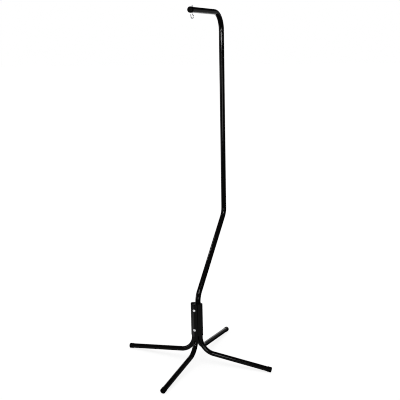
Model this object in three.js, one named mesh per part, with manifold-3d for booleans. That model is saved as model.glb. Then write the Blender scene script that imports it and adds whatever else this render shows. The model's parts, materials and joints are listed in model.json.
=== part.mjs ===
import * as THREE from 'three';
import { mergeVertices } from 'three/addons/utils/BufferGeometryUtils.js';
import Module from 'manifold-3d';

// A tall hanging stand of bent steel tube, for a hammock or a cage that hangs from one hook.
// Four legs of bent tube stand upright in one bundle inside a hub sleeve. The mast plugs down
// into the back leg, steps out from the hub in an S bend and ends in an arm that comes back
// over it.
// Millimetres, +Z up. The origin is on the hub's axis at floor level. The legs point along
// +X (right), +Y (back), -X (left) and -Y (front), and the mast stands on the back side.

// Tube stock: 25.4 mm for the legs and 28 mm for the mast
const LEG_RADIUS = 12.7;
const POLE_RADIUS = 14;
const TUBE_WALL = 1.2;
const GAP = 0.3;

// Facets
const TUBE_SIDES = 20;
const WIRE_SIDES = 10;
const HOLE_SIDES = 12;
const FASTENER_SIDES = 16;
const SLEEVE_ARC_STEPS = 5;
const ROUNDING_STEPS = 3;
const TUBE_BEND_STEP = THREE.MathUtils.degToRad(12);
const WIRE_BEND_STEP = THREE.MathUtils.degToRad(18);

// Base
const LEG_REACH = 416;
const LEG_SLOPE = THREE.MathUtils.degToRad(6.2);
const LEG_BEND_RADIUS = 85;
const LEG_RING_RADIUS = 18.2;
const FOOT_FLAT_DEPTH = 0.9;
const SLEEVE_BOTTOM = 142;
const SLEEVE_TOP = 320;
const SLEEVE_WALL = 1.5;
const SLEEVE_VALLEY_RADIUS = 8;
const BOLT_HEIGHTS = { upper: 290, lower: 180 };
const DRILL_REACH = 60;

// Mast
const MAST_OFFSET = 396;
const MAST_BEND_RADIUS = 72;
const LOWER_BEND_HEIGHT = 352;
const MAST_SEAM_HEIGHT = 925;
const ARM_SEAM_HEIGHT = 1726;
const ARM_HEIGHT = 1827;
const ARM_BEND_RADIUS = 92;
const ARM_END = -3;
const SEAM_SPIGOT_LENGTH = 65;
const HUB_SPIGOT_LENGTH = 150;
const SWAGE_TAPER = 4;

// Caps and plugs
const CAP_WALL = 1;
const FOOT_CAP_LENGTH = 20;
const ARM_CAP_LENGTH = 15;
const CAP_END_THICKNESS = 3;
const FOOT_CAP_ROUNDING = 1.5;
const ARM_CAP_ROUNDING = 5;
const PLUG_FLANGE = 2;
const PLUG_DEPTH = 12;
const PLUG_WALL = 1.6;

// Fasteners
const BOLT_RADIUS = 3;
const BOLT_HEAD_RADIUS = 7;
const BOLT_HEAD_HEIGHT = 3.4;
const BOLT_HOLE_RADIUS = BOLT_RADIUS + GAP;
const HUB_NUT_FLATS = 10;
const HUB_NUT_HEIGHT = 6;
const HUB_WASHER_RADIUS = 6.5;
const HOOK_NUT_FLATS = 8;
const HOOK_NUT_HEIGHT = 5;
const HOOK_WASHER_RADIUS = 5;
const WASHER_THICKNESS = 1.2;
const THREAD_END = 2;

// Hook
const HOOK_POSITION = 27.5;
const HOOK_YAW = THREE.MathUtils.degToRad(-12);
const WIRE_RADIUS = 2.4;
const HOOK_HOLE_RADIUS = WIRE_RADIUS + GAP;
const SHANK_DEPTH = 21.2;
const HOOK_NECK_RADIUS = 5;
const HOOK_NECK_TURN = THREE.MathUtils.degToRad(60);
const HOOK_RADIUS = 8;
const HOOK_LIP_RADIUS = 10;
const HOOK_LIP_TURN = THREE.MathUtils.degToRad(20);
const HOOK_LIP_LENGTH = 8;

function finish(color, roughness, metalness) {
  return new THREE.MeshStandardMaterial({ color, roughness, metalness });
}

const materials = {
  tube: finish(0x100f10, 0.28, 0.2),
  sleeve: finish(0x1a1a1b, 0.28, 0.2),
  cap: finish(0x0b0b0c, 0.5, 0),
  zinc: finish(0xc9cbcd, 0.3, 1),
};

const wasm = await Module();
wasm.setup();

// Closed three.js geometry to a manifold-3d solid.
function solidOf(geometry) {
  const bare = geometry.clone();
  bare.deleteAttribute('normal');
  bare.deleteAttribute('uv');
  const merged = mergeVertices(bare, 1e-4);
  return new wasm.Manifold(new wasm.Mesh({
    numProp: 3,
    vertProperties: merged.attributes.position.array,
    triVerts: new Uint32Array(merged.index.array),
  }));
}

// A manifold-3d solid back to three.js geometry.
function geometryOf(solid) {
  const mesh = solid.getMesh();
  const geometry = new THREE.BufferGeometry();
  geometry.setAttribute('position', new THREE.BufferAttribute(mesh.vertProperties, 3));
  geometry.setIndex(new THREE.BufferAttribute(mesh.triVerts, 1));
  geometry.computeVertexNormals();
  return geometry;
}

function join(body, ...additions) {
  return geometryOf(additions.reduce((solid, part) => solid.add(solidOf(part)), solidOf(body)));
}

function cut(body, ...cutters) {
  return geometryOf(cutters.reduce((solid, part) => solid.subtract(solidOf(part)), solidOf(body)));
}

// A route known by its stations: the ends of straight runs and evenly spaced points round each
// bend, so that a straight run is one step of an extrusion.
class StationRoute extends THREE.Curve {
  stations = [];

  addStation(point, tangent) {
    this.stations.push({ point: point.clone(), tangent: tangent.clone().normalize() });
  }

  // Stations round an arc that starts in the direction `heading` and curves towards `side`.
  addArc(start, heading, side, radius, turn, largestStep) {
    const count = Math.ceil(turn / largestStep);
    for (let i = 0; i <= count; i++) {
      const angle = turn * i / count;
      const point = start.clone()
        .addScaledVector(side, radius * (1 - Math.cos(angle)))
        .addScaledVector(heading, radius * Math.sin(angle));
      const tangent = heading.clone().multiplyScalar(Math.cos(angle))
        .addScaledVector(side, Math.sin(angle));
      this.addStation(point, tangent);
    }
  }

  get steps() {
    return this.stations.length - 1;
  }

  getPoint(t, target = new THREE.Vector3()) {
    return target.copy(this.stations[Math.round(t * this.steps)].point);
  }

  getPointAt(u, target) {
    return this.getPoint(u, target);
  }

  getTangentAt(u, target = new THREE.Vector3()) {
    return target.copy(this.stations[Math.round(u * this.steps)].tangent);
  }
}

// Straight runs between corners that are rounded to one bend radius.
class BentRoute extends StationRoute {
  constructor(corners, bendRadius) {
    super();
    const last = corners.length - 1;
    this.addStation(corners[0], corners[1].clone().sub(corners[0]));
    for (let i = 1; i < last; i++) {
      this.addBend(corners[i - 1], corners[i], corners[i + 1], bendRadius);
    }
    this.addStation(corners[last], corners[last].clone().sub(corners[last - 1]));
  }

  addBend(before, corner, after, radius) {
    const inward = corner.clone().sub(before).normalize();
    const outward = after.clone().sub(corner).normalize();
    const turn = inward.angleTo(outward);
    const start = corner.clone().addScaledVector(inward, -radius * Math.tan(turn / 2));
    const side = outward.clone().addScaledVector(inward, -Math.cos(turn)).normalize();
    this.addArc(start, inward, side, radius, turn, TUBE_BEND_STEP);
  }
}

function circleShape(radius, holeRadius) {
  const shape = new THREE.Shape().absarc(0, 0, radius, 0, 2 * Math.PI);
  if (holeRadius) {
    shape.holes.push(new THREE.Path().absarc(0, 0, holeRadius, 0, 2 * Math.PI));
  }
  return shape;
}

// Hollow tube along a route. A circle is sampled with twice as many sides as curveSegments.
function tubeAlong(route, radius) {
  return new THREE.ExtrudeGeometry(circleShape(radius, radius - TUBE_WALL), {
    extrudePath: route,
    steps: route.steps,
    curveSegments: TUBE_SIDES / 2,
  });
}

// Solid of revolution about Z from a profile of [radius, height] pairs.
function turned(profile, sides = TUBE_SIDES) {
  const points = profile.map(([radius, height]) => new THREE.Vector2(radius, height));
  return new THREE.LatheGeometry(points, sides).rotateX(Math.PI / 2);
}

// Turns a solid so that what ran along +Z runs along +X, or along +Y.
function alongX(geometry) {
  return geometry.rotateY(Math.PI / 2);
}

function alongY(geometry) {
  return geometry.rotateX(-Math.PI / 2);
}

// Cylinder about Z that drills a round hole.
function drill(radius, low, high) {
  return turned([[0, low], [radius, low], [radius, high], [0, high]], HOLE_SIDES);
}

// Points of a quarter circle in a profile, from the side round to the end.
function quarterRound(radius, height, rounding) {
  return Array.from({ length: ROUNDING_STEPS + 1 }, (_, i) => {
    const angle = Math.PI / 2 * i / ROUNDING_STEPS;
    return [
      radius - rounding + rounding * Math.cos(angle),
      height - rounding + rounding * Math.sin(angle),
    ];
  });
}

function addPiece(parent, name, geometry, material) {
  const mesh = new THREE.Mesh(geometry, material);
  mesh.name = name;
  parent.add(mesh);
  return mesh;
}

const stand = new THREE.Group();

// ---- Legs and their caps. Each leg is drawn pointing along +X and turned to its place. ----

const legs = [
  { side: 'right', turn: 0, top: SLEEVE_TOP - PLUG_FLANGE },
  { side: 'back', turn: Math.PI / 2, top: SLEEVE_TOP },
  { side: 'left', turn: Math.PI, top: SLEEVE_TOP - PLUG_FLANGE },
  { side: 'front', turn: -Math.PI / 2, top: SLEEVE_TOP - PLUG_FLANGE },
];
const tipHeight = (LEG_RADIUS + GAP + CAP_WALL) * Math.cos(LEG_SLOPE) - FOOT_FLAT_DEPTH;
const legDirection = new THREE.Vector3(Math.cos(LEG_SLOPE), 0, -Math.sin(LEG_SLOPE));
const legTip = new THREE.Vector3(LEG_REACH, 0, tipHeight);

function legGeometry(top) {
  const cornerHeight = tipHeight + (LEG_REACH - LEG_RING_RADIUS) * Math.tan(LEG_SLOPE);
  const tubeEnd = legTip.clone().addScaledVector(legDirection, -CAP_END_THICKNESS - GAP);
  return tubeAlong(new BentRoute([
    new THREE.Vector3(LEG_RING_RADIUS, 0, top),
    new THREE.Vector3(LEG_RING_RADIUS, 0, cornerHeight),
    tubeEnd,
  ], LEG_BEND_RADIUS), LEG_RADIUS);
}

function legBoltHole(height) {
  return alongX(drill(BOLT_HOLE_RADIUS, 0, DRILL_REACH)).translate(0, 0, height);
}

// Slip-on end cap whose closed end is at the origin and which reaches back along -X.
function capGeometry(tubeRadius, length, rounding) {
  const bore = tubeRadius + GAP;
  const outside = bore + CAP_WALL;
  return alongX(turned([
    [0, -CAP_END_THICKNESS],
    [bore, -CAP_END_THICKNESS],
    [bore, -length],
    [outside, -length],
    ...quarterRound(outside, 0, rounding),
    [0, 0],
  ]));
}

// The cap's lowest edge is worn flat where it stands on the floor.
function footCapGeometry() {
  const cap = capGeometry(LEG_RADIUS, FOOT_CAP_LENGTH, FOOT_CAP_ROUNDING);
  cap.rotateY(LEG_SLOPE);
  cap.translate(legTip.x, legTip.y, legTip.z);
  const floorDepth = 10;
  const floor = new THREE.BoxGeometry(4 * FOOT_CAP_LENGTH, 4 * LEG_RADIUS, floorDepth);
  floor.translate(legTip.x, 0, -floorDepth / 2);
  return cut(cap, floor);
}

for (const { side, turn, top } of legs) {
  const group = new THREE.Group();
  group.rotation.z = turn;
  const heights = Object.values(BOLT_HEIGHTS).filter((height) => height < top);
  const bolted = side === 'front' || side === 'back';
  const tube = legGeometry(top);
  const geometry = bolted ? cut(tube, ...heights.map(legBoltHole)) : tube;
  addPiece(group, `leg_${side}`, geometry, materials.tube);
  addPiece(group, `foot_cap_${side}`, footCapGeometry(), materials.cap);
  stand.add(group);
}

// ---- Hub sleeve: sheet steel that follows the four upright tubes and dips between them. ----

// Outline of four round lobes joined by hollows. `inset` draws the sheet's inner face.
function sleeveOutline(Outline, inset) {
  const lobe = LEG_RADIUS + 2 * GAP + SLEEVE_WALL - inset;
  const valley = SLEEVE_VALLEY_RADIUS + inset;
  const ring = LEG_RING_RADIUS;
  const valleyCentre = ring / Math.SQRT2 + Math.sqrt((lobe + valley) ** 2 - ring ** 2 / 2);
  const diagonal = valleyCentre / Math.SQRT2;
  const lobeHalfAngle = Math.atan2(diagonal, diagonal - ring);
  const valleyHalfAngle = lobeHalfAngle - Math.PI / 4;
  const outline = new Outline();
  for (let i = 0; i < 4; i++) {
    const axis = Math.PI / 2 * i;
    const corner = axis + Math.PI / 4;
    const lobeX = ring * Math.cos(axis);
    const lobeY = ring * Math.sin(axis);
    const valleyX = valleyCentre * Math.cos(corner);
    const valleyY = valleyCentre * Math.sin(corner);
    const facing = corner + Math.PI;
    outline.absarc(lobeX, lobeY, lobe, axis - lobeHalfAngle, axis + lobeHalfAngle, false);
    outline.absarc(valleyX, valleyY, valley, facing + valleyHalfAngle, facing - valleyHalfAngle, true);
  }
  return outline;
}

function hubBoltHole(height) {
  return alongY(drill(BOLT_HOLE_RADIUS, -DRILL_REACH, DRILL_REACH)).translate(0, 0, height);
}

function sleeveGeometry() {
  const shape = sleeveOutline(THREE.Shape, 0);
  shape.holes.push(sleeveOutline(THREE.Path, SLEEVE_WALL));
  const sleeve = new THREE.ExtrudeGeometry(shape, {
    depth: SLEEVE_TOP - SLEEVE_BOTTOM,
    bevelEnabled: false,
    curveSegments: SLEEVE_ARC_STEPS,
  });
  sleeve.translate(0, 0, SLEEVE_BOTTOM);
  return cut(sleeve, ...Object.values(BOLT_HEIGHTS).map(hubBoltHole));
}

addPiece(stand, 'hub_sleeve', sleeveGeometry(), materials.sleeve);

// ---- Plugs in the open tops of the three leg tubes that carry no mast. ----

function plugGeometry() {
  const stem = LEG_RADIUS - TUBE_WALL - GAP;
  return turned([
    [0, GAP],
    [stem - PLUG_WALL, GAP],
    [stem - PLUG_WALL, -PLUG_DEPTH],
    [stem, -PLUG_DEPTH],
    [stem, GAP],
    ...quarterRound(LEG_RADIUS, PLUG_FLANGE, PLUG_FLANGE - GAP),
    [0, PLUG_FLANGE],
  ]);
}

for (const { side, turn } of legs.filter((leg) => leg.side !== 'back')) {
  const plug = addPiece(stand, `tube_plug_${side}`, plugGeometry(), materials.cap);
  plug.position.set(
    LEG_RING_RADIUS * Math.cos(turn),
    LEG_RING_RADIUS * Math.sin(turn),
    SLEEVE_TOP - PLUG_FLANGE,
  );
}

// ---- Mast: three tubes, each with a reduced lower end that plugs into the tube below. ----

// Reduced end below a shoulder at the given height, sized for the tube that it plugs into. It
// starts inside the mast tube's own wall, so that the two join into one solid.
function swagedEnd(y, shoulder, socketRadius, length) {
  const skin = TUBE_WALL / 4;
  const outside = socketRadius - TUBE_WALL - GAP;
  const inside = outside - TUBE_WALL;
  const ring = [
    [POLE_RADIUS - skin, shoulder + SWAGE_TAPER],
    [POLE_RADIUS - TUBE_WALL + skin, shoulder + SWAGE_TAPER],
    [inside, shoulder],
    [inside, shoulder - length],
    [outside, shoulder - length],
    [outside, shoulder + GAP],
    [POLE_RADIUS - skin, shoulder + GAP],
  ];
  return turned([...ring, ring[0]]).translate(0, y, 0);
}

function lowerPoleGeometry() {
  const shoulder = SLEEVE_TOP + GAP;
  const rise = MAST_OFFSET - LEG_RING_RADIUS;
  const tube = tubeAlong(new BentRoute([
    new THREE.Vector3(0, LEG_RING_RADIUS, shoulder),
    new THREE.Vector3(0, LEG_RING_RADIUS, LOWER_BEND_HEIGHT),
    new THREE.Vector3(0, MAST_OFFSET, LOWER_BEND_HEIGHT + rise),
    new THREE.Vector3(0, MAST_OFFSET, MAST_SEAM_HEIGHT),
  ], MAST_BEND_RADIUS), POLE_RADIUS);
  const whole = join(tube, swagedEnd(LEG_RING_RADIUS, shoulder, LEG_RADIUS, HUB_SPIGOT_LENGTH));
  return cut(whole, ...Object.values(BOLT_HEIGHTS).map(hubBoltHole));
}

function upperPoleGeometry() {
  const shoulder = MAST_SEAM_HEIGHT + GAP;
  const tube = tubeAlong(new BentRoute([
    new THREE.Vector3(0, MAST_OFFSET, shoulder),
    new THREE.Vector3(0, MAST_OFFSET, ARM_SEAM_HEIGHT),
  ], 0), POLE_RADIUS);
  return join(tube, swagedEnd(MAST_OFFSET, shoulder, POLE_RADIUS, SEAM_SPIGOT_LENGTH));
}

function topArmGeometry() {
  const shoulder = ARM_SEAM_HEIGHT + GAP;
  const tubeEnd = ARM_END + CAP_END_THICKNESS + GAP;
  const tube = tubeAlong(new BentRoute([
    new THREE.Vector3(0, MAST_OFFSET, shoulder),
    new THREE.Vector3(0, MAST_OFFSET, ARM_HEIGHT),
    new THREE.Vector3(0, tubeEnd, ARM_HEIGHT),
  ], ARM_BEND_RADIUS), POLE_RADIUS);
  const whole = join(tube, swagedEnd(MAST_OFFSET, shoulder, POLE_RADIUS, SEAM_SPIGOT_LENGTH));
  const hole = drill(HOOK_HOLE_RADIUS, -DRILL_REACH, DRILL_REACH).translate(0, HOOK_POSITION, ARM_HEIGHT);
  return cut(whole, hole);
}

addPiece(stand, 'lower_pole', lowerPoleGeometry(), materials.tube);
addPiece(stand, 'upper_pole', upperPoleGeometry(), materials.tube);
addPiece(stand, 'top_arm', topArmGeometry(), materials.tube);

const armCapGeometry = capGeometry(POLE_RADIUS, ARM_CAP_LENGTH, ARM_CAP_ROUNDING);
const armCap = addPiece(stand, 'arm_end_cap', armCapGeometry, materials.cap);
armCap.position.set(0, ARM_END, ARM_HEIGHT);
armCap.rotation.z = -Math.PI / 2;

// ---- Hub bolts along Y: round heads on the front, washers and nuts at the back. ----

function hexNutGeometry(flats, holeRadius, height) {
  const corner = new THREE.Vector2(flats / Math.sqrt(3), 0);
  const origin = new THREE.Vector2();
  const corners = Array.from({ length: 6 }, (_, i) => corner.clone().rotateAround(origin, Math.PI / 3 * i));
  const hex = new THREE.Shape(corners);
  hex.holes.push(new THREE.Path().absarc(0, 0, holeRadius, 0, 2 * Math.PI));
  return new THREE.ExtrudeGeometry(hex, {
    depth: height,
    bevelEnabled: false,
    curveSegments: HOLE_SIDES / 2,
  });
}

function washerGeometry(radius, holeRadius) {
  return new THREE.ExtrudeGeometry(circleShape(radius, holeRadius), {
    depth: WASHER_THICKNESS,
    bevelEnabled: false,
    curveSegments: FASTENER_SIDES / 2,
  });
}

const sleeveReach = LEG_RING_RADIUS + LEG_RADIUS + 2 * GAP + SLEEVE_WALL;
const washerFace = sleeveReach + GAP;
const nutFace = washerFace + WASHER_THICKNESS + GAP;

function boltGeometry() {
  const seat = -washerFace;
  const end = nutFace + HUB_NUT_HEIGHT + THREAD_END;
  const head = quarterRound(BOLT_HEAD_RADIUS, BOLT_HEAD_HEIGHT, BOLT_HEAD_HEIGHT)
    .reverse()
    .map(([radius, height]) => [radius, seat - height]);
  const crown = [0, seat - BOLT_HEAD_HEIGHT];
  const profile = [crown, ...head, [BOLT_RADIUS, seat], [BOLT_RADIUS, end], [0, end]];
  return alongY(turned(profile, FASTENER_SIDES));
}

for (const [place, height] of Object.entries(BOLT_HEIGHTS)) {
  const bolt = addPiece(stand, `hub_bolt_${place}`, boltGeometry(), materials.zinc);
  bolt.position.set(0, 0, height);
  const washerShape = washerGeometry(HUB_WASHER_RADIUS, BOLT_HOLE_RADIUS);
  const washer = addPiece(stand, `hub_washer_${place}`, washerShape, materials.zinc);
  washer.position.set(0, washerFace, height);
  washer.rotation.x = -Math.PI / 2;
  const nutShape = hexNutGeometry(HUB_NUT_FLATS, BOLT_HOLE_RADIUS, HUB_NUT_HEIGHT);
  const nut = addPiece(stand, `hub_nut_${place}`, nutShape, materials.zinc);
  nut.position.set(0, nutFace, height);
  nut.rotation.x = -Math.PI / 2;
}

// ---- Hook: a straight shank through the arm, and an open round hook below it. ----

// The hook's centre line in the XZ plane: down the shank, out round the neck, back round the
// hook and up the flared lip. Each bend starts where the last one ended.
class HookRoute extends StationRoute {
  constructor(shankTop, shankBottom) {
    super();
    this.addStation(new THREE.Vector3(0, 0, shankTop), new THREE.Vector3(0, 0, -1));
    this.addStation(new THREE.Vector3(0, 0, shankBottom), new THREE.Vector3(0, 0, -1));
    this.curve(HOOK_NECK_RADIUS, HOOK_NECK_TURN);
    this.curve(HOOK_RADIUS, -(Math.PI + HOOK_NECK_TURN));
    this.curve(HOOK_LIP_RADIUS, HOOK_LIP_TURN);
    const { point, tangent } = this.stations.at(-1);
    this.addStation(point.clone().addScaledVector(tangent, HOOK_LIP_LENGTH), tangent);
  }

  // A bend from the last station on: a positive turn is towards the left of the heading.
  curve(radius, turn) {
    const { point, tangent } = this.stations.pop();
    const side = new THREE.Vector3(-tangent.z, 0, tangent.x).multiplyScalar(Math.sign(turn));
    this.addArc(point, tangent, side, radius, Math.abs(turn), WIRE_BEND_STEP);
  }
}

const armTop = POLE_RADIUS + GAP;
const hookWasherTop = armTop + WASHER_THICKNESS;
const hookNutBottom = hookWasherTop + GAP;

function hookGeometry() {
  const shankTop = hookNutBottom + HOOK_NUT_HEIGHT + THREAD_END;
  const route = new HookRoute(shankTop, -SHANK_DEPTH);
  return new THREE.ExtrudeGeometry(circleShape(WIRE_RADIUS), {
    extrudePath: route,
    steps: route.steps,
    curveSegments: WIRE_SIDES / 2,
  });
}

const hookGroup = new THREE.Group();
hookGroup.position.set(0, HOOK_POSITION, ARM_HEIGHT);
hookGroup.rotation.z = HOOK_YAW;
addPiece(hookGroup, 'hook', hookGeometry(), materials.zinc);
const hookWasherShape = washerGeometry(HOOK_WASHER_RADIUS, HOOK_HOLE_RADIUS);
const hookWasher = addPiece(hookGroup, 'hook_washer', hookWasherShape, materials.zinc);
hookWasher.position.z = armTop;
const hookNutShape = hexNutGeometry(HOOK_NUT_FLATS, HOOK_HOLE_RADIUS, HOOK_NUT_HEIGHT);
const hookNut = addPiece(hookGroup, 'hook_nut', hookNutShape, materials.zinc);
hookNut.position.z = hookNutBottom;
stand.add(hookGroup);

export default stand;
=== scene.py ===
"""Looks for the hanging stand: smooth enamelled tube, moulded caps, zinc-plated fasteners and hook."""

import json
import math

import bmesh
import bpy
from mathutils import Matrix, Vector

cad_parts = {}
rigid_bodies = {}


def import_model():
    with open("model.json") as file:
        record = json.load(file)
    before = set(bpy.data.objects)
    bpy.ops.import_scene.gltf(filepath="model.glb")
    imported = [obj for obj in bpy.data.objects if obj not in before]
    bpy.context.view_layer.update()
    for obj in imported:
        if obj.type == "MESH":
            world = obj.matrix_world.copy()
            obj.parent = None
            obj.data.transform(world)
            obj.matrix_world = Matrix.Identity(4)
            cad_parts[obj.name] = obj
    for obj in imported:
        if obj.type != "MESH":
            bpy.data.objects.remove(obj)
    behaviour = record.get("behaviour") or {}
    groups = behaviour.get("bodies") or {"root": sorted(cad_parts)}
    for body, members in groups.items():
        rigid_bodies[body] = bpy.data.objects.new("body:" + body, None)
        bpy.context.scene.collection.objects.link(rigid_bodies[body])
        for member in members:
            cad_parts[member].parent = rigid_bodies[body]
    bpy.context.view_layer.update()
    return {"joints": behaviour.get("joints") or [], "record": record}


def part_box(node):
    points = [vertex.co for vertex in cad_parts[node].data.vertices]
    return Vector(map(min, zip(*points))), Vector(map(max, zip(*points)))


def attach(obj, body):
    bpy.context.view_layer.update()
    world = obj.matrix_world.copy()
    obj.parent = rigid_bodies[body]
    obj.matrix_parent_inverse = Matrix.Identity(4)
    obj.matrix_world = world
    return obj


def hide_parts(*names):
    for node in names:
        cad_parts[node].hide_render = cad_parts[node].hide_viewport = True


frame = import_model()

MM = 0.001
UP = Vector((0, 0, 1))
GAP = 0.3 * MM
DIRECTIONS = {
    "right": Vector((1, 0, 0)),
    "back": Vector((0, 1, 0)),
    "left": Vector((-1, 0, 0)),
    "front": Vector((0, -1, 0)),
}


def middle_height(box):
    low, high = box
    return (low[2] + high[2]) / 2


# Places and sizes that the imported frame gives.
joint_at = {joint["name"]: Vector(joint["pos_m"]) for joint in frame["joints"]}
mast_seam = joint_at["mast_turn"]
arm_seam = joint_at["arm_turn"]
hook_top = joint_at["hook_swivel"]
pole_low, pole_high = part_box("upper_pole")
sleeve_low, sleeve_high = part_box("hub_sleeve")
leg_low, leg_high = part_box("leg_right")
LEG = (leg_high[1] - leg_low[1]) / 2
POLE = (pole_high[0] - pole_low[0]) / 2
RING = leg_low[0] + LEG
SEAM_SPIGOT = mast_seam.z - pole_low[2]
LOWER_POLE_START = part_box("lower_pole")[0][2]
BACK_LEG_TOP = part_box("leg_back")[1][2]
BOLTS = {place: middle_height(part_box(f"hub_bolt_{place}")) for place in ("upper", "lower")}
ARM_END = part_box("arm_end_cap")[0][1]

# Shape of the tube stock and its bends.
WALL = 1.2 * MM
SWAGE_TAPER = 1.4 * MM
LEG_REACH = 416 * MM
LEG_SLOPE = math.radians(6.2)
LEG_BEND = 85 * MM
MAST_BEND = 72 * MM
LOWER_BEND_HEIGHT = 352 * MM
ARM_BEND = 92 * MM
BEND_FLATTENING = 0.025

# Caps, plugs and the hub sleeve. FOOT_FLAT is the depth of the flat on which a foot cap stands.
CAP_WALL = 1 * MM
CAP_END = 3 * MM
CAP_DRAFT = 0.15 * MM
CAP_BEAD = 1.6 * MM
FOOT_CAP_LENGTH = 20 * MM
FOOT_CAP_ROUNDING = 1.5 * MM
FOOT_FLAT = 0.9 * MM
ARM_CAP_LENGTH = 15 * MM
ARM_CAP_ROUNDING = 5 * MM
ARM_CAP_CROWN = 0.2 * MM
PLUG_FLANGE = 2 * MM
PLUG_DEPTH = 12 * MM
PLUG_WALL = 1.6 * MM
SLEEVE_WALL = 1.5 * MM
SLEEVE_VALLEY = 8 * MM
DIMPLE_DEPTH = 0.35 * MM
DIMPLE_REACH = 11 * MM

# Fasteners and hook. BOLT, BOLT_HEAD, WIRE and the washers' sizes are radii, a nut is
# (width across flats, height), and a thread's pitch and depth are shares of its radius.
BOLT = 3 * MM
BOLT_HEAD = 7 * MM
BOLT_HEAD_HEIGHT = 3.4 * MM
BOLT_HEAD_RIM = 0.15
BOLT_HEAD_FOOT = 0.985
BOLT_THREAD = 8 * MM
HUB_NUT = (10 * MM, 6 * MM)
HUB_WASHER = 6.5 * MM
HOOK_NUT = (8 * MM, 5 * MM)
HOOK_WASHER = 5 * MM
HOOK_THREAD = 16 * MM
NUT_CHAMFER = math.radians(28)
NUT_FACE = 0.96
COUNTERSINK = 0.5 * MM
WASHER = 1.2 * MM
THREAD_END = 2 * MM
THREAD_PITCH = 1 / 3
THREAD_DEPTH = 0.12
WIRE = 2.4 * MM
SHANK_DEPTH = 21.2 * MM
NECK_TURN = math.radians(60)
NECK_BEND = 5 * MM
BOWL_BEND = 8 * MM
LIP_TURN = math.radians(20)
LIP_BEND = 10 * MM
LIP_LENGTH = 8 * MM
HOOK_YAW = math.radians(-12)

# How finely the round shapes are divided, and the angle above which an edge is a crease.
TUBE_SIDES = 48
CAP_SIDES = 64
WIRE_SIDES = 32
HOLE_SIDES = 32
CHAMFER_SIDES = 96
TAPER_STEPS = 8
LOBE_STEPS = 28
VALLEY_STEPS = 14
BOLT_HEAD_STEPS = 14
THREAD_STEPS = 8
SHANK_STEPS = 6
HOOK_STEPS = 90
TIP_STEPS = 7
SHARP_ANGLE = math.radians(35)


# ---- Materials ----

class Shader:
    """A Principled material with helpers for its procedural nodes."""

    def __init__(self, name, **constants):
        self.material = bpy.data.materials.new(name)
        self.material.use_nodes = True
        self.tree = self.material.node_tree
        self.surface = self.tree.nodes["Principled BSDF"]
        for socket, value in constants.items():
            self.surface.inputs[socket.replace("_", " ")].default_value = value
        self.place = self.node("ShaderNodeTexCoord").outputs["Object"]

    def node(self, kind, **settings):
        made = self.tree.nodes.new(kind)
        for name, value in settings.items():
            setattr(made, name, value)
        return made

    def link(self, output, socket):
        self.tree.links.new(output, socket)

    def noise(self, scale, detail=3.0, stretch=(1, 1, 1)):
        mapping = self.node("ShaderNodeMapping")
        mapping.inputs["Scale"].default_value = stretch
        self.link(self.place, mapping.inputs["Vector"])
        noise = self.node("ShaderNodeTexNoise")
        noise.inputs["Scale"].default_value = scale
        noise.inputs["Detail"].default_value = detail
        self.link(mapping.outputs["Vector"], noise.inputs["Vector"])
        return noise.outputs["Fac"]

    def ranged(self, value, low, high, to_low, to_high):
        ranged = self.node("ShaderNodeMapRange")
        self.link(value, ranged.inputs["Value"])
        limits = {"From Min": low, "From Max": high, "To Min": to_low, "To Max": to_high}
        for socket, number in limits.items():
            ranged.inputs[socket].default_value = number
        return ranged.outputs["Result"]

    def product(self, first, second):
        math_node = self.node("ShaderNodeMath", operation="MULTIPLY")
        self.link(first, math_node.inputs[0])
        self.link(second, math_node.inputs[1])
        return math_node.outputs["Value"]

    def blend(self, factor, first, second):
        mix = self.node("ShaderNodeMix", data_type="RGBA")
        self.link(factor, mix.inputs["Factor"])
        for socket, colour in ((mix.inputs[6], first), (mix.inputs[7], second)):
            if isinstance(colour, tuple):
                socket.default_value = (*colour, 1)
            else:
                self.link(colour, socket)
        return mix.outputs[2]

    def bump(self, layers):
        normal = None
        for height, depth in layers:
            bump = self.node("ShaderNodeBump")
            bump.inputs["Distance"].default_value = depth
            self.link(height, bump.inputs["Height"])
            if normal:
                self.link(normal, bump.inputs["Normal"])
            normal = bump.outputs["Normal"]
        self.link(normal, self.surface.inputs["Normal"])

    def upward(self, low, high):
        geometry = self.node("ShaderNodeNewGeometry")
        split = self.node("ShaderNodeSeparateXYZ")
        self.link(geometry.outputs["Normal"], split.inputs["Vector"])
        return self.ranged(split.outputs["Z"], low, high, 0, 1)

    def edges(self, low, high):
        geometry = self.node("ShaderNodeNewGeometry")
        return self.ranged(geometry.outputs["Pointiness"], low, high, 0, 1)


def black_enamel():
    """Gloss enamel sprayed on steel: faint orange peel, a little dust on top, worn at the tube ends."""
    shader = Shader("black_enamel")
    mottle = shader.blend(shader.noise(14), (0.0055, 0.005, 0.005), (0.0085, 0.008, 0.0075))
    dust = shader.product(shader.upward(0.55, 1.0), shader.ranged(shader.noise(55, 6), 0.45, 0.8, 0, 0.2))
    dusty = shader.blend(dust, mottle, (0.05, 0.047, 0.043))
    wear = shader.product(shader.edges(0.56, 0.66), shader.ranged(shader.noise(300, 4), 0.4, 0.6, 0, 0.8))
    roughness = shader.ranged(shader.noise(38, 5), 0.3, 0.7, 0.08, 0.12)
    shader.link(shader.blend(wear, dusty, (0.16, 0.155, 0.15)), shader.surface.inputs["Base Color"])
    shader.link(roughness, shader.surface.inputs["Roughness"])
    shader.bump([(shader.noise(60, 1), 0.00001)])
    return shader.material


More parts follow.
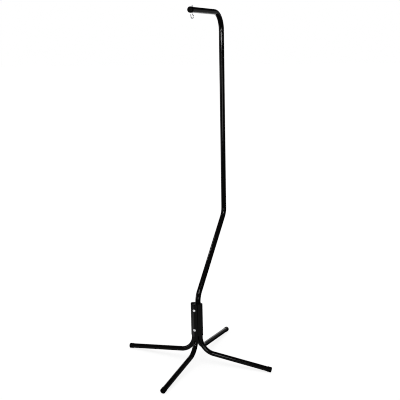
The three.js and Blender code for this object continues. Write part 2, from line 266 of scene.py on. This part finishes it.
def black_plastic():
    """Moulded black plastic with a fine satin texture."""
    shader = Shader("black_plastic", Specular_IOR_Level=0.2)
    tone = shader.blend(shader.noise(40), (0.003, 0.003, 0.0033), (0.006, 0.0057, 0.0055))
    scuffs = shader.ranged(shader.noise(260, 6, (1, 1, 0.25)), 0.6, 0.75, 0, 0.3)
    roughness = shader.ranged(shader.noise(90, 4), 0.3, 0.7, 0.34, 0.5)
    shader.link(shader.blend(scuffs, tone, (0.025, 0.024, 0.023)), shader.surface.inputs["Base Color"])
    shader.link(roughness, shader.surface.inputs["Roughness"])
    shader.bump([(shader.noise(2600, 2), 0.00002)])
    return shader.material


def zinc_plate():
    """Bright zinc plate: slightly cloudy metal with fine drawing marks."""
    shader = Shader("zinc_plate", Metallic=1.0)
    cloud = shader.blend(shader.noise(220, 4), (0.62, 0.635, 0.66), (0.83, 0.835, 0.84))
    stain = shader.ranged(shader.noise(900, 5), 0.62, 0.8, 0, 0.5)
    roughness = shader.ranged(shader.noise(500, 4), 0.3, 0.7, 0.2, 0.36)
    shader.link(shader.blend(stain, cloud, (0.5, 0.48, 0.43)), shader.surface.inputs["Base Color"])
    shader.link(roughness, shader.surface.inputs["Roughness"])
    shader.bump([(shader.noise(1200, 3, (1, 1, 0.12)), 0.00002)])
    return shader.material


MATERIALS = {
    "black_enamel": black_enamel(),
    "black_plastic": black_plastic(),
    "zinc_plate": zinc_plate(),
}
SLOT_OF = {part["node"]: part["material_slot"] for part in frame["record"]["subparts"]}
BODIES = frame["record"]["behaviour"]["bodies"]
BODY_OF = {node: body for body, nodes in BODIES.items() for node in nodes}


# ---- Mesh helpers ----

def skin(rings, looped=False):
    """Vertices and faces of a skin over closed rings of points. A ring of one point closes an end."""
    points, faces, starts = [], [], []
    for ring in rings:
        starts.append(len(points))
        points.extend(ring)
    pairs = list(zip(range(len(rings)), range(1, len(rings))))
    if looped:
        pairs.append((len(rings) - 1, 0))
    for a, b in pairs:
        count_a, count_b = len(rings[a]), len(rings[b])
        for i in range(max(count_a, count_b)):
            corners = [
                starts[a] + i % count_a,
                starts[b] + i % count_b,
                starts[b] + (i + 1) % count_b,
                starts[a] + (i + 1) % count_a,
            ]
            faces.append(list(dict.fromkeys(corners)))
    return points, faces


def mesh_of(name, points, faces):
    mesh = bpy.data.meshes.new(name)
    mesh.from_pydata([tuple(point) for point in points], [], faces)
    work = bmesh.new()
    work.from_mesh(mesh)
    bmesh.ops.remove_doubles(work, verts=work.verts, dist=1e-7)
    bmesh.ops.recalc_face_normals(work, faces=work.faces)
    work.to_mesh(mesh)
    work.free()
    return mesh


def object_of(name, points, faces):
    made = bpy.data.objects.new(name, mesh_of(name, points, faces))
    bpy.context.collection.objects.link(made)
    return made


def ring_about(centre, side, across, radius, sides):
    """A closed ring of points. A radius may be a function of the angle."""
    if not callable(radius) and radius < 1e-9:
        return [centre]
    ring = []
    for i in range(sides):
        angle = 2 * math.pi * i / sides
        reach = radius(angle) if callable(radius) else radius
        ring.append(centre + side * reach * math.cos(angle) + across * reach * math.sin(angle))
    return ring


def turned(profile, base, axis, sides=TUBE_SIDES, looped=False):
    """Skin of revolution about an axis through base. The profile is (radius, height) pairs."""
    axis = axis.normalized()
    side = axis.orthogonal().normalized()
    across = axis.cross(side)
    rings = [
        ring_about(base + axis * height, side, across, radius, sides)
        for radius, height in profile
    ]
    return skin(rings, looped)


def rounded(corners, steps=5):
    """A profile whose corners are (radius, height, rounding): each is cut to a round of that size."""
    profile = []
    for i, (radius, height, rounding) in enumerate(corners):
        corner = Vector((radius, height))
        if rounding == 0 or i in (0, len(corners) - 1):
            profile.append((radius, height))
            continue
        before = (Vector(corners[i - 1][:2]) - corner).normalized()
        after = (Vector(corners[i + 1][:2]) - corner).normalized()
        start, end = corner + before * rounding, corner + after * rounding
        for step in range(steps + 1):
            t = step / steps
            point = start.lerp(corner, t).lerp(corner.lerp(end, t), t)
            profile.append((point.x, point.y))
    return profile


def shade(made):
    """Smooth shading, with a crease wherever faces meet at more than SHARP_ANGLE."""
    mesh = made.data
    mesh.polygons.foreach_set("use_smooth", [True] * len(mesh.polygons))
    mesh.set_sharp_from_angle(angle=SHARP_ANGLE)


def drill(made, holes):
    """Cuts round holes, each given as (base, axis, radius, length), right through a piece."""
    for base, axis, radius, length in holes:
        plain_rod = [(0, 0), (radius, 0), (radius, length), (0, length)]
        cutter = object_of("cutter", *turned(plain_rod, base, axis, HOLE_SIDES))
        combine(made, cutter, "DIFFERENCE")


def combine(made, other, operation):
    """Applies a boolean with another object, which is then deleted."""
    modifier = made.modifiers.new(operation, "BOOLEAN")
    modifier.operation = operation
    modifier.solver = "EXACT"
    modifier.object = other
    result = bpy.data.meshes.new_from_object(made.evaluated_get(bpy.context.evaluated_depsgraph_get()))
    made.modifiers.clear()
    made.data = result
    bpy.data.objects.remove(other)


def finish_piece(made, node):
    """Gives a piece its finish and its body, and lets it stand for its CAD node."""
    shade(made)
    made.data.materials.clear()
    made.data.materials.append(MATERIALS[SLOT_OF[node]])
    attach(made, BODY_OF[node])
    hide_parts(node)
    return made


def add_turned(node, profile, base, axis, sides=TUBE_SIDES, looped=False):
    made = object_of(f"{node}_fine", *turned(profile, base, axis, sides, looped))
    return finish_piece(made, node)


# ---- Bent tube ----

def smooth_step(value):
    value = min(max(value, 0), 1)
    return value * value * (3 - 2 * value)


class Path:
    """A centre line in an upright plane, made of straight runs and bends."""

    LINE_STEP = 24 * MM
    BEND_STEP = 3 * MM
    RAMP = 12 * MM

    def __init__(self, start, along, heading):
        self.along = along.normalized()
        self.across = self.along.cross(UP)
        self.point = start.copy()
        self.heading = heading
        self.length = 0
        self.moves = []

    def line(self, length):
        return self.move(length, 0)

    def bend(self, radius, turn):
        return self.move(radius * abs(turn), math.copysign(1 / radius, turn))

    def move(self, length, curvature):
        self.moves.append((self.length, length, self.point, self.heading, curvature))
        self.point, self.heading = self.advance(self.point, self.heading, curvature, length)
        self.length += length
        return self

    def advance(self, point, heading, curvature, distance):
        if curvature == 0:
            return point + self.direction(heading) * distance, heading
        turned_to = heading + curvature * distance
        forwards = (math.sin(turned_to) - math.sin(heading)) / curvature
        upwards = (math.cos(heading) - math.cos(turned_to)) / curvature
        return point + self.along * forwards + UP * upwards, turned_to

    def direction(self, heading):
        return self.along * math.cos(heading) + UP * math.sin(heading)

    def at(self, distance):
        """Point and in-plane normal at a distance along the path."""
        for start, length, point, heading, curvature in self.moves:
            if distance <= start + length:
                break
        point, heading = self.advance(point, heading, curvature, distance - start)
        return point, self.direction(heading + math.pi / 2)

    def bent(self, distance):
        """How far a place is into a bend: 0 on a straight run, 1 inside a bend."""
        into = [
            smooth_step((distance - start + self.RAMP) / (2 * self.RAMP))
            * smooth_step((start + length + self.RAMP - distance) / (2 * self.RAMP))
            for start, length, _, _, curvature in self.moves if curvature
        ]
        return max(into, default=0)

    def stops(self, first, last):
        """Distances at which to set rings: close together in and near the bends."""
        stops = [first]
        while stops[-1] < last:
            here = stops[-1]
            ahead = (here, here + self.LINE_STEP, here + self.LINE_STEP / 2)
            near_bend = any(self.bent(distance) for distance in ahead)
            stops.append(min(here + (self.BEND_STEP if near_bend else self.LINE_STEP), last))
        return stops


def tube_rings(path, profile, sides):
    """Rings round a path from (distance, radius) pairs, a little flattened where it bends."""
    rings = []
    for distance, radius in profile:
        point, normal = path.at(distance)
        flattening = BEND_FLATTENING * path.bent(distance)
        side = normal * (1 - flattening)
        across = path.across * (1 + flattening / 2)
        rings.append(ring_about(point, side, across, radius, sides))
    return rings


def lip(distance, outward, outer, wall, steps=6):
    """Rounded tube end, from skin to bore. outward is 1 at the far end and -1 at the near one."""
    half = wall / 2
    return [
        (distance + outward * half * (math.cos(angle) - 1), outer - half + half * math.sin(angle))
        for angle in (math.pi / 2 - math.pi * i / steps for i in range(steps + 1))
    ]


def tube_profile(path, tube, spigot_length=0, socket=0):
    """(distance, radius) pairs round a tube's wall. Its near end may be reduced to fit a socket."""
    ends = WALL
    stops = path.stops(ends, path.length - ends)
    if spigot_length:
        taper = [spigot_length + SWAGE_TAPER * i / TAPER_STEPS for i in range(TAPER_STEPS + 1)]
        before_taper = spigot_length - 4 * MM
        stops = sorted(set(stops) | set(taper) | {before_taper})

    def outer(distance):
        if not spigot_length:
            return tube
        spigot = socket - WALL - GAP
        return spigot + (tube - spigot) * smooth_step((distance - spigot_length) / SWAGE_TAPER)

    outside = [(distance, outer(distance)) for distance in stops]
    inside = [(distance, outer(distance) - WALL) for distance in reversed(stops)]
    far = lip(path.length, 1, tube, WALL)
    near = lip(0, -1, outer(0), WALL)
    return outside + far + inside + list(reversed(near))


def add_tube(node, path, profile, holes=()):
    made = object_of(f"{node}_fine", *skin(tube_rings(path, profile, TUBE_SIDES), looped=True))
    drill(made, holes)
    return finish_piece(made, node)


# ---- Legs and their caps ----

TIP_HEIGHT = (LEG + GAP + CAP_WALL) * math.cos(LEG_SLOPE) - FOOT_FLAT


def add_leg(side, direction):
    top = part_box(f"leg_{side}")[1][2]
    turn = math.pi / 2 - LEG_SLOPE
    setback = LEG_BEND * math.tan(turn / 2)
    corner = TIP_HEIGHT + (LEG_REACH - RING) * math.tan(LEG_SLOPE)
    run = (LEG_REACH - RING) / math.cos(LEG_SLOPE) - setback - CAP_END - GAP
    path = Path(direction * RING + UP * top, direction, -math.pi / 2)
    path.line(top - corner - setback).bend(LEG_BEND, turn).line(run)
    holes = []
    if side in ("front", "back"):
        holes = [(UP * height, direction, BOLT + GAP, 2 * RING) for height in BOLTS.values()]
    add_tube(f"leg_{side}", path, tube_profile(path, LEG), holes)


def cap_profile(tube, length, rounding, crown):
    """Slip-on cap: a softly domed end, a slight draft, a bead round the mouth, and its bore."""
    bore = tube + GAP
    cap = bore + CAP_WALL
    return rounded([
        (0, crown, 0),
        (cap - CAP_DRAFT, 0, rounding),
        (cap - CAP_DRAFT / 3, CAP_BEAD - length, 0.2 * MM),
        (cap, CAP_BEAD - length, 0.2 * MM),
        (cap, -length, 0.35 * MM),
        (bore, -length, 0.3 * MM),
        (bore, -CAP_END, 0.3 * MM),
        (0, -CAP_END, 0),
    ])


def add_foot_cap(side, direction):
    node = f"foot_cap_{side}"
    outward = direction * math.cos(LEG_SLOPE) - UP * math.sin(LEG_SLOPE)
    tip = direction * LEG_REACH + UP * TIP_HEIGHT
    profile = cap_profile(LEG, FOOT_CAP_LENGTH, FOOT_CAP_ROUNDING, 0)
    points, faces = turned(profile, tip, outward, CAP_SIDES)
    for point in points:
        point.z = max(point.z, 0)
    finish_piece(object_of(f"{node}_fine", points, faces), node)


for side, direction in DIRECTIONS.items():
    add_leg(side, direction)
    add_foot_cap(side, direction)


# ---- Hub sleeve and plugs ----

def hub_holes():
    """The two bolt holes, right through the hub from front to back."""
    span = 6 * RING
    front = DIRECTIONS["front"] * span / 2
    return [(front + UP * height, DIRECTIONS["back"], BOLT + GAP, span) for height in BOLTS.values()]


def sleeve_ring(height, inset):
    """One closed ring of the sleeve: four lobes round the tubes and four hollows between them."""
    lobe = sleeve_high[0] - RING - inset
    valley = SLEEVE_VALLEY + inset
    valley_centre = RING / math.sqrt(2) + math.sqrt((lobe + valley) ** 2 - RING ** 2 / 2)
    diagonal = valley_centre / math.sqrt(2)
    lobe_half = math.atan2(diagonal, diagonal - RING)
    valley_half = lobe_half - math.pi / 4
    ring = []
    for i in range(4):
        axis = i * math.pi / 2
        for step in range(LOBE_STEPS):
            angle = axis - lobe_half + 2 * lobe_half * step / LOBE_STEPS
            ring.append(arc_point(RING, axis, lobe, angle, height))
        corner = axis + math.pi / 4
        for step in range(VALLEY_STEPS):
            angle = corner + math.pi + valley_half - 2 * valley_half * step / VALLEY_STEPS
            ring.append(arc_point(valley_centre, corner, valley, angle, height))
    return [dimpled(point) for point in ring]


def arc_point(reach, bearing, radius, angle, height):
    x = reach * math.cos(bearing) + radius * math.cos(angle)
    y = reach * math.sin(bearing) + radius * math.sin(angle)
    return Vector((x, y, height))


def dimpled(point):
    """Presses the sheet in a little under each bolt head and washer."""
    for height in BOLTS.values():
        distance = math.hypot(point.x, point.z - height)
        if abs(point.y) > RING and distance < DIMPLE_REACH:
            depth = DIMPLE_DEPTH * smooth_step(1 - distance / DIMPLE_REACH)
            point.y -= math.copysign(depth, point.y)
    return point


def add_sleeve():
    low, high = sleeve_low[2], sleeve_high[2]
    half = SLEEVE_WALL / 2
    fine, coarse = 1.5 * MM, 8 * MM
    near_bolt = DIMPLE_REACH + 5 * MM
    heights = [low + half]
    while heights[-1] < high - half:
        near = any(abs(heights[-1] + fine - bolt) < near_bolt for bolt in BOLTS.values())
        heights.append(min(heights[-1] + (fine if near else coarse), high - half))
    turns = [math.pi * i / 6 for i in range(1, 6)]
    top = [(high - half + half * math.sin(a), half - half * math.cos(a)) for a in turns]
    bottom = [(low + half - half * math.sin(a), half + half * math.cos(a)) for a in turns]
    outside = [(height, 0) for height in heights]
    inside = [(height, SLEEVE_WALL) for height in reversed(heights)]
    rings = [sleeve_ring(height, inset) for height, inset in outside + top + inside + bottom]
    made = object_of("hub_sleeve_fine", *skin(rings, looped=True))
    drill(made, hub_holes())
    finish_piece(made, "hub_sleeve")


def add_tube_plug(side, direction):
    """Plug in a leg's open top: a hollow stem under a low domed flange."""
    stem = LEG - WALL - GAP
    profile = rounded([
        (0, GAP, 0),
        (stem - PLUG_WALL, GAP, 0.3 * MM),
        (stem - PLUG_WALL, -PLUG_DEPTH, 0.3 * MM),
        (stem, -PLUG_DEPTH, 0.5 * MM),
        (stem, GAP, 0.1 * MM),
        (LEG, GAP, 0.2 * MM),
        (LEG, PLUG_FLANGE * 0.8, 0.9 * MM),
        (LEG * 0.45, PLUG_FLANGE, 0.8 * MM),
        (0, PLUG_FLANGE, 0),
    ])
    seat = direction * RING + UP * (sleeve_high[2] - PLUG_FLANGE)
    add_turned(f"tube_plug_{side}", profile, seat, UP)


add_sleeve()
for side, direction in DIRECTIONS.items():
    if side != "back":
        add_tube_plug(side, direction)


# ---- Mast ----

def add_lower_pole():
    rise = mast_seam.y - RING
    turn = math.pi / 4
    setback = MAST_BEND * math.tan(turn / 2)
    path = Path(Vector((0, RING, LOWER_POLE_START)), DIRECTIONS["back"], math.pi / 2)
    path.line(LOWER_BEND_HEIGHT - setback - LOWER_POLE_START)
    path.bend(MAST_BEND, -turn)
    path.line(rise * math.sqrt(2) - 2 * setback)
    path.bend(MAST_BEND, turn)
    path.line(mast_seam.z - LOWER_BEND_HEIGHT - rise - setback)
    profile = tube_profile(path, POLE, BACK_LEG_TOP + GAP - LOWER_POLE_START, LEG)
    add_tube("lower_pole", path, profile, hub_holes())


def add_upper_pole():
    start = Vector((0, mast_seam.y, pole_low[2]))
    path = Path(start, DIRECTIONS["back"], math.pi / 2)
    path.line(arm_seam.z - start.z)
    add_tube("upper_pole", path, tube_profile(path, POLE, SEAM_SPIGOT + GAP, POLE))


def add_top_arm():
    start = Vector((0, arm_seam.y, arm_seam.z - SEAM_SPIGOT))
    path = Path(start, DIRECTIONS["front"], math.pi / 2)
    path.line(hook_top.z - ARM_BEND - start.z)
    path.bend(ARM_BEND, -math.pi / 2)
    path.line(arm_seam.y - ARM_BEND - ARM_END - CAP_END - GAP)
    hole = (hook_top - UP * 2 * POLE, UP, WIRE + GAP, 4 * POLE)
    add_tube("top_arm", path, tube_profile(path, POLE, SEAM_SPIGOT + GAP, POLE), [hole])


def add_arm_end_cap():
    profile = cap_profile(POLE, ARM_CAP_LENGTH, ARM_CAP_ROUNDING, ARM_CAP_CROWN)
    end = Vector((0, ARM_END, hook_top.z))
    add_turned("arm_end_cap", profile, end, DIRECTIONS["front"], CAP_SIDES)


add_lower_pole()
add_upper_pole()
add_top_arm()
add_arm_end_cap()


# ---- Threads, nuts and washers ----

def thread(radius, start, end):
    """Rings of a helical thread as (radius, height) pairs whose radius turns with the angle."""
    pitch = radius * THREAD_PITCH
    depth = radius * THREAD_DEPTH
    rings = []
    count = max(2, round((end - start) / (pitch / THREAD_STEPS)))
    for i in range(count + 1):
        height = start + (end - start) * i / count
        fade = smooth_step((end - height) / pitch) * smooth_step((height - start) / pitch)

        def reach(angle, height=height, fade=fade):
            phase = (height / pitch - angle / (2 * math.pi)) % 1
            return radius - depth * fade * abs(2 * phase - 1) - depth * (1 - fade)

        rings.append((reach, height))
    return rings


def hex_nut(name, flats, height, hole, base, axis):
    """Hexagonal nut whose corners are chamfered on both faces, with a countersunk hole."""
    corner = flats / math.sqrt(3)
    prism = turned([(0, 0), (corner, 0), (corner, height), (0, height)], base, axis, 6)
    made = object_of(name, *prism)
    face = flats / 2 * NUT_FACE
    rim = 2 * corner - flats / 2
    drop = math.tan(NUT_CHAMFER) * (rim - face)
    disc = [(0, 0), (face, 0), (rim, drop), (rim, height - drop), (face, height), (0, height)]
    combine(made, object_of("chamfer", *turned(disc, base, axis, CHAMFER_SIDES)), "INTERSECT")
    mouth = hole + 2 * COUNTERSINK
    bore = [
        (0, -COUNTERSINK),
        (mouth, -COUNTERSINK),
        (hole, COUNTERSINK),
        (hole, height - COUNTERSINK),
        (mouth, height + COUNTERSINK),
        (0, height + COUNTERSINK),
    ]
    combine(made, object_of("bore", *turned(bore, base, axis)), "DIFFERENCE")
    return made


def washer_profile(outer, hole):
    return rounded([
        (hole, WASHER / 2, 0),
        (hole, 0, 0.12 * MM),
        (outer, 0, 0.3 * MM),
        (outer, WASHER, 0.2 * MM),
        (hole, WASHER, 0.12 * MM),
        (hole, WASHER / 2, 0),
    ], 3)[:-1]


# ---- Hub bolts ----

def add_hub_bolt(node, centre, seat, thread_start, thread_end):
    """Bolt with a domed head on a low rim. Its axis points back, and seat is where its head rests."""
    head = []
    for i in range(BOLT_HEAD_STEPS + 1):
        angle = math.pi / 2 * i / BOLT_HEAD_STEPS
        height = BOLT_HEAD_HEIGHT * (BOLT_HEAD_RIM + (1 - BOLT_HEAD_RIM) * math.cos(angle))
        head.append((BOLT_HEAD * math.sin(angle), seat - height))
    shank = [(BOLT_HEAD * BOLT_HEAD_FOOT, seat), (BOLT, seat), (BOLT, thread_start)]
    profile = head + shank + thread(BOLT, thread_start, thread_end) + [(0, thread_end)]
    add_turned(node, profile, centre, DIRECTIONS["back"])


def add_hub_fastening(place, height):
    """A bolt through the hub, with its washer and nut at the back."""
    centre = UP * height
    back = DIRECTIONS["back"]
    washer_face = sleeve_high[1] + GAP
    nut_face = washer_face + WASHER + GAP
    thread_end = nut_face + HUB_NUT[1] + THREAD_END
    add_hub_bolt(f"hub_bolt_{place}", centre, -washer_face, nut_face - BOLT_THREAD, thread_end)
    washer = washer_profile(HUB_WASHER, BOLT + GAP)
    add_turned(f"hub_washer_{place}", washer, centre + back * washer_face, back, looped=True)
    node = f"hub_nut_{place}"
    nut = hex_nut(f"{node}_fine", *HUB_NUT, BOLT + GAP / 2, centre + back * nut_face, back)
    finish_piece(nut, node)


for place, height in BOLTS.items():
    add_hub_fastening(place, height)


# ---- Hook ----

def add_hook():
    """Bent wire hook: a threaded shank, a neck, a bowl of more than half a turn and a flared lip."""
    plane = Vector((math.cos(HOOK_YAW), math.sin(HOOK_YAW), 0))
    shank_top = POLE + WASHER + 2 * GAP + HOOK_NUT[1] + THREAD_END
    start = hook_top + UP * shank_top
    path = Path(start, plane, -math.pi / 2)
    path.line(shank_top + SHANK_DEPTH)
    path.bend(NECK_BEND, NECK_TURN)
    path.bend(BOWL_BEND, -(math.pi + NECK_TURN))
    path.bend(LIP_BEND, LIP_TURN)
    path.line(LIP_LENGTH)

    fine_start = shank_top + SHANK_DEPTH - 3.5 * MM
    tip_start = path.length - WIRE
    profile = thread(WIRE, 0, HOOK_THREAD)
    for i in range(1, SHANK_STEPS + 1):
        profile.append((WIRE, HOOK_THREAD + i * (fine_start - HOOK_THREAD) / SHANK_STEPS))
    for i in range(1, HOOK_STEPS + 1):
        profile.append((WIRE, fine_start + (tip_start - fine_start) * i / HOOK_STEPS))
    for i in range(1, TIP_STEPS + 1):
        angle = math.pi / 2 * i / TIP_STEPS
        profile.append((WIRE * math.cos(angle), path.length - WIRE * (1 - math.sin(angle))))

    rings = [[start]]
    for radius, distance in profile:
        point, normal = path.at(distance)
        rings.append(ring_about(point, normal, path.across, radius, WIRE_SIDES))
    finish_piece(object_of("hook_fine", *skin(rings)), "hook")


def add_hook_fastening():
    """The washer and nut on the hook's shank, over the arm."""
    washer_base = hook_top + UP * (POLE + GAP)
    nut_base = hook_top + UP * (POLE + 2 * GAP + WASHER)
    washer = washer_profile(HOOK_WASHER, WIRE + GAP)
    add_turned("hook_washer", washer, washer_base, UP, looped=True)
    nut = hex_nut("hook_nut_fine", *HOOK_NUT, WIRE + GAP / 2, nut_base, UP)
    finish_piece(nut, "hook_nut")


add_hook()
add_hook_fastening()


# ---- Floor, light and camera ----

FLOOR_HALF = 60


def add_floor():
    """A pale, almost shadowless floor that reaches past the horizon and isn't seen in reflections."""
    signs = ((-1, -1), (1, -1), (1, 1), (-1, 1))
    points = [Vector((x * FLOOR_HALF, y * FLOOR_HALF, 0)) for x, y in signs]
    floor = object_of("floor", points, [(0, 1, 2, 3)])
    shader = Shader("pale_floor", Roughness=0.9, Specular_IOR_Level=0.0, Emission_Strength=0.82)
    shader.surface.inputs["Emission Color"].default_value = (1, 1, 1, 1)
    tone = shader.blend(shader.noise(2, 4), (0.8, 0.8, 0.8), (0.83, 0.83, 0.83))
    shader.link(tone, shader.surface.inputs["Base Color"])
    floor.data.materials.append(shader.material)
    floor.visible_glossy = False
    floor.visible_diffuse = False
    return floor


def add_world():
    """White surroundings to look at, a dim even light on surfaces, and near-darkness in reflections."""
    world = bpy.data.worlds.new("studio")
    bpy.context.scene.world = world
    world.use_nodes = True
    tree = world.node_tree
    rays = tree.nodes.new("ShaderNodeLightPath")
    seen = (1.0, 1.0, 1.0, 1)
    ray_colours = {"Is Diffuse Ray": (0.12, 0.12, 0.12, 1), "Is Glossy Ray": (0.01, 0.01, 0.011, 1)}
    for ray, colour in ray_colours.items():
        mix = tree.nodes.new("ShaderNodeMix")
        mix.data_type = "RGBA"
        if isinstance(seen, tuple):
            mix.inputs[6].default_value = seen
        else:
            tree.links.new(seen, mix.inputs[6])
        mix.inputs[7].default_value = colour
        tree.links.new(rays.outputs[ray], mix.inputs["Factor"])
        seen = mix.outputs[2]
    tree.links.new(seen, tree.nodes["Background"].inputs["Color"])


def link_only(lamp, pieces):
    lit = bpy.data.collections.new(f"{lamp.name}_lights")
    for piece in pieces:
        lit.objects.link(piece)
    lamp.light_linking.receiver_collection = lit


def add_softbox(name, place, aim, width, height, brightness, pieces):
    """An area light of a given brightness, which lights only the pieces given."""
    light = bpy.data.lights.new(name, "AREA")
    light.shape = "RECTANGLE"
    light.size = width
    light.size_y = height
    light.energy = brightness * math.pi * width * height
    lamp = bpy.data.objects.new(name, light)
    lamp.location = place
    lamp.rotation_euler = (Vector(aim) - Vector(place)).to_track_quat("-Z", "Y").to_euler()
    lamp.visible_camera = False
    bpy.context.collection.objects.link(lamp)
    link_only(lamp, pieces)


def add_floor_light(floor, brightness):
    """Even light from straight above that reaches only the floor, with soft shadows under the stand."""
    light = bpy.data.lights.new("floor_light", "SUN")
    light.energy = brightness * math.pi
    light.angle = math.radians(70)
    lamp = bpy.data.objects.new("floor_light", light)
    bpy.context.collection.objects.link(lamp)
    link_only(lamp, [floor])


# The camera of the main view. Its lens is in millimetres on a sensor 36 mm wide.
CAMERA_PLACE = Vector((1.480, -3.188, 1.645))
CAMERA_BEARING = math.radians(24.42)
CAMERA_PITCH = math.radians(12.27)
CAMERA_ROLL = math.radians(1.19)
CAMERA_LENS = 63


def add_camera():
    optics = bpy.data.cameras.new("camera")
    optics.lens = CAMERA_LENS
    optics.sensor_width = 36
    camera = bpy.data.objects.new("camera", optics)
    level = Matrix.Rotation(CAMERA_BEARING, 4, "Z") @ Matrix.Rotation(math.pi / 2 - CAMERA_PITCH, 4, "X")
    camera.matrix_world = Matrix.Translation(CAMERA_PLACE) @ level @ Matrix.Rotation(-CAMERA_ROLL, 4, "Z")
    bpy.context.collection.objects.link(camera)
    bpy.context.scene.camera = camera


def named(pieces, *prefixes):
    """The pieces whose names start with one of the prefixes."""
    return [made for made in pieces if made.name.startswith(prefixes)]


def light_stand():
    """Softboxes round the stand. Several light only the pieces whose streaks of shine they make."""
    toward_camera = Vector((CAMERA_PLACE.x, CAMERA_PLACE.y, 0)).normalized()
    stand = [made for made in bpy.data.objects if made.name.endswith("_fine")]
    lower_pole = named(stand, "lower_pole")
    mast = named(stand, "upper_pole", "top_arm")
    base = [made for made in stand if made not in lower_pole + mast]
    legs = named(stand, "leg_")
    sleeve = named(stand, "hub_sleeve")
    zinc = [made for made in stand if made.data.materials[0] == MATERIALS["zinc_plate"]]

    # The bright streaks down the mast, along the right leg and on the mast's bends.
    add_softbox("key", CAMERA_PLACE + UP * 0.11, (0, 0.39, 1.7), 3.0, 0.08, 15, mast + base)
    add_softbox("leg_key", (-0.9, -3.3, 1.95), (0, 0, 0.1), 0.3, 1.1, 4.2, base)
    add_softbox("mast_key", (-0.85, -3.3, 1.95), (0, 0, 0.1), 0.34, 0.3, 16, mast)
    add_softbox("bend_key", (0.55, -1.16, 2.05), (0, 0.02, 0.37), 0.4, 0.8, 10, lower_pole)
    add_softbox("slant_left", (-1.89, 0.075, 2.195), (0, 0.2, 0.53), 0.16, 0.16, 12, lower_pole)

    # Broad, weak boxes that bring out the edges of the black tubes.
    add_softbox("front_fill", toward_camera * 4.2 + UP * 1.0, (0, 0.39, 1.0), 2.6, 0.9, 1.4, stand)
    add_softbox("backdrop", toward_camera * -3.4 + UP * 0.7, (0, 0, 0.7), 4.0, 1.2, 1.0, stand)
    add_softbox("far_wall", (1.0, 3.8, 1.2), (0, 0, 1.2), 4.0, 2.4, 0.14, stand)
    add_softbox("left_fill", (-3.2, -1.2, 1.2), (0, 0, 0.8), 1.2, 2.0, 0.7, stand)

    # Light from all sides for the bright metal to mirror.
    for i in range(8):
        place = Matrix.Rotation(math.pi / 4 * i, 3, "Z") @ toward_camera * 4 + UP * 1.2
        add_softbox("zinc_wall", place, (0, 0, 1.2), 3.3, 3, 0.8, zinc)
    add_softbox("zinc_top", (0, 0, 4), (0, 0, 1.2), 3, 3, 1.0, zinc)
    add_softbox("zinc_floor", (0, 0, 0.01), (0, 0, 1), 3, 3, 0.8, zinc)

    # The pale floor as the sleeve and the legs mirror it.
    before_stand = toward_camera * 1.2
    add_softbox("sleeve_floor", before_stand + UP * 0.01, before_stand + UP, 2.4, 2.4, 0.1, sleeve + legs)
    add_softbox("sleeve_left", (-0.46, -0.2, 0.02), (-0.3, -0.13, 1), 0.5, 0.5, 0.25, sleeve)


floor = add_floor()
add_floor_light(floor, 0.13)
add_world()
add_camera()
light_stand()
bpy.context.scene.view_settings.view_transform = "Standard"
bpy.context.scene.cycles.filter_width = 1.0
